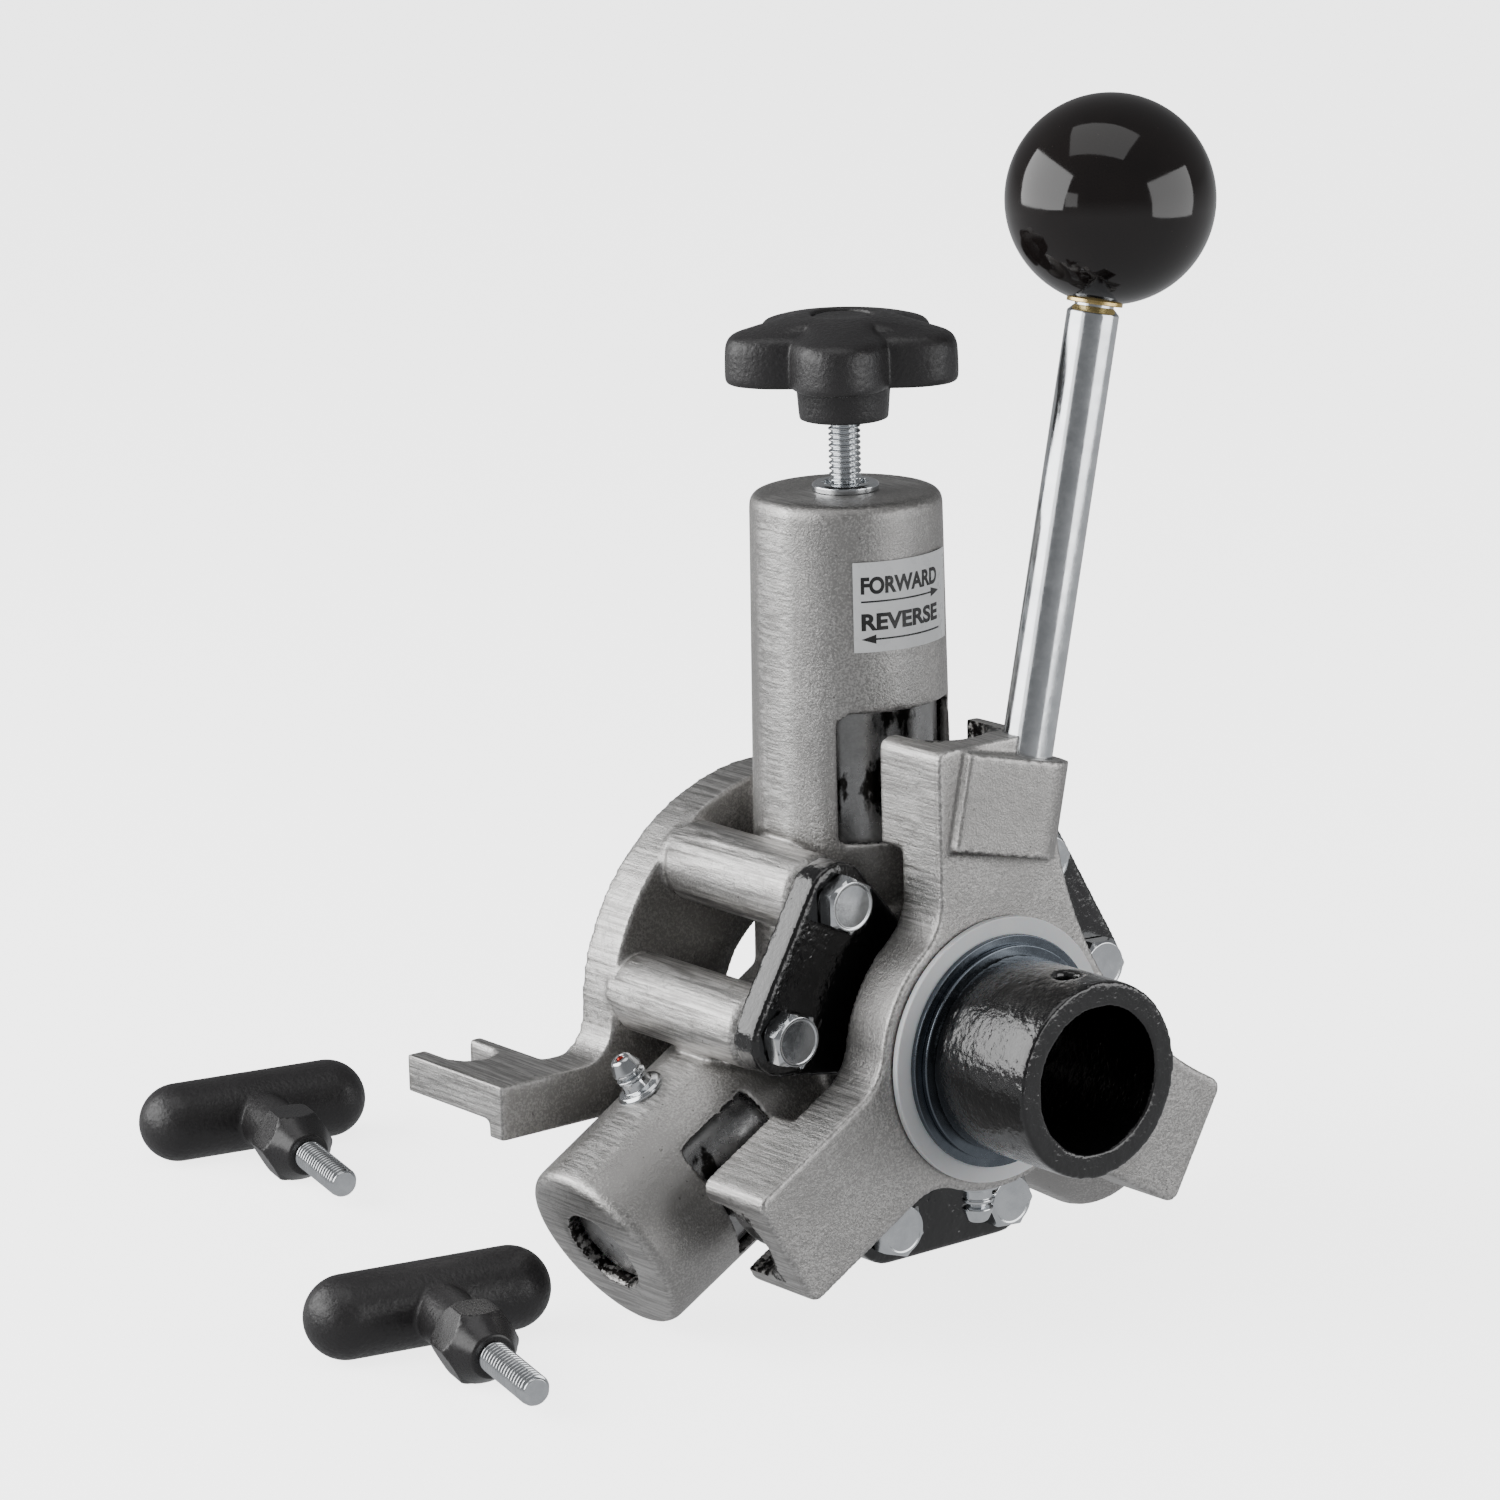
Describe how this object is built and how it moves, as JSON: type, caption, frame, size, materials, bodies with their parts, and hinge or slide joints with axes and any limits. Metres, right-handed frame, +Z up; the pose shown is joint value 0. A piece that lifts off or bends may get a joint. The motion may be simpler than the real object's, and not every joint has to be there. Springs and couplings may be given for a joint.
{
  "type": "drain cable power feed",
  "caption": "Cast cable power feed: rear plate with clamp ears, barrels holding skewing rollers, front nose, feed lever with ball, star knob feed screw and loose tee handles.",
  "frame": {"origin": "centre of the cable hole at the rear plate's back face", "axes": "+Y along the cable towards the machine, +Z up the adjusting barrel towards the star knob, +X to the right seen from the nose's side with the nose facing -Y"},
  "size_m": [0.2404, 0.293, 0.2957],
  "materials": {
    "cast_aluminium": "blasted sand casting, sanded on parting lines and edges",
    "black_paint": "thick gloss black paint over a rough casting",
    "zinc_bright": "bright zinc plate",
    "greased_steel": "machined steel with black grease",
    "hardened_steel": "ground and hardened steel",
    "blued_steel": "blue-grey spring steel",
    "white_nylon": "natural nylon, semi-matt",
    "bronze": "oiled sintered bronze",
    "brass": "turned brass",
    "gloss_black": "polished phenolic",
    "black_nylon": "moulded nylon with a fine spark texture",
    "black_collar": "smooth moulded nylon, satin",
    "label_film": "white vinyl with black print"
  },
  "bodies": {
    "frame": {"housing": "cast_aluminium", "nose": "black_paint", "nose_bolts": "zinc_bright", "feed_bushing": "zinc_bright", "barrel_grease_fittings": "zinc_bright", "direction_label": "label_film", "thrust_washers": "bronze", "nylon_washer": "white_nylon", "steel_washer": "blued_steel", "retaining_ring": "blued_steel"},
    "yoke_lever": {"yoke": "cast_aluminium", "yoke_bushing": "bronze", "yoke_grease_fitting": "zinc_bright", "lever_rod": "zinc_bright", "ball_knob": "gloss_black", "ball_insert": "brass"},
    "spring_pack": {"spring_cap": "greased_steel", "pressure_spring": "greased_steel", "spring_seat": "greased_steel"},
    "knob": {"star_knob": "black_nylon", "knob_cap": "black_nylon", "feed_screw": "zinc_bright"},
    "top_swivel": {"top_holder": "greased_steel", "top_axle": "hardened_steel", "top_axle_pins": "hardened_steel"},
    "top_wheel": {"top_roller": "hardened_steel", "top_roller_bush": "bronze"},
    "left_swivel": {"left_holder": "greased_steel", "left_axle": "hardened_steel", "left_axle_pins": "hardened_steel"},
    "left_wheel": {"left_roller": "hardened_steel", "left_roller_bush": "bronze"},
    "right_swivel": {"right_holder": "greased_steel", "right_axle": "hardened_steel", "right_axle_pins": "hardened_steel"},
    "right_wheel": {"right_roller": "hardened_steel", "right_roller_bush": "bronze"},
    "rear_tee": {"rear_tee_grip": "black_nylon", "rear_tee_collar": "black_collar", "rear_tee_stud": "zinc_bright"},
    "front_tee": {"front_tee_grip": "black_nylon", "front_tee_collar": "black_collar", "front_tee_stud": "zinc_bright"}
  },
  "joints": [
    {"name": "yoke_turn", "type": "hinge", "parent": "frame", "child": "yoke_lever", "pos_m": [0, -0.084, 0], "axis": [0, 1, 0], "range_deg": [-10, 10]},
    {"name": "feed_slide", "type": "slide", "parent": "frame", "child": "spring_pack", "axis": [0, 0, 1], "range_m": [-0.00282, 0.00705]},
    {"name": "knob_turn", "type": "hinge", "parent": "spring_pack", "child": "knob", "pos_m": [0, -0.038, 0.15], "axis": [0, 0, 1], "range_deg": [-726, 1806]},
    {"name": "top_swivel_turn", "type": "hinge", "parent": "spring_pack", "child": "top_swivel", "pos_m": [0, -0.038, 0.05], "axis": [0, 0, 1], "range_deg": [-18.2, 18.2]},
    {"name": "left_swivel_turn", "type": "hinge", "parent": "frame", "child": "left_swivel", "pos_m": [-0.0433, -0.038, -0.025], "axis": [-0.866, 0, -0.5], "range_deg": [-18.2, 18.2]},
    {"name": "right_swivel_turn", "type": "hinge", "parent": "frame", "child": "right_swivel", "pos_m": [0.0433, -0.038, -0.025], "axis": [0.866, 0, -0.5], "range_deg": [-18.2, 18.2]},
    {"name": "top_roller_spin", "type": "hinge", "parent": "top_swivel", "child": "top_wheel", "pos_m": [0, -0.038, 0.023], "axis": [0, 1, 0], "continuous": true},
    {"name": "left_roller_spin", "type": "hinge", "parent": "left_swivel", "child": "left_wheel", "pos_m": [-0.01992, -0.038, -0.0115], "axis": [0, 1, 0], "continuous": true},
    {"name": "right_roller_spin", "type": "hinge", "parent": "right_swivel", "child": "right_wheel", "pos_m": [0.01992, -0.038, -0.0115], "axis": [0, 1, 0], "continuous": true},
    {"name": "rear_tee_lift", "type": "slide", "parent": "frame", "child": "rear_tee", "axis": [0, 0, 1], "range_m": [0, 0.03]},
    {"name": "front_tee_lift", "type": "slide", "parent": "frame", "child": "front_tee", "axis": [0, 0, 1], "range_m": [0, 0.012]}
  ],
  "couplings": [
    {"joint": "knob_turn", "follows": "feed_slide", "rad_per_m": 4452.7},
    {"joint": "top_swivel_turn", "follows": "yoke_turn", "ratio": 1.8},
    {"joint": "left_swivel_turn", "follows": "yoke_turn", "ratio": 1.8},
    {"joint": "right_swivel_turn", "follows": "yoke_turn", "ratio": 1.8}
  ]
}
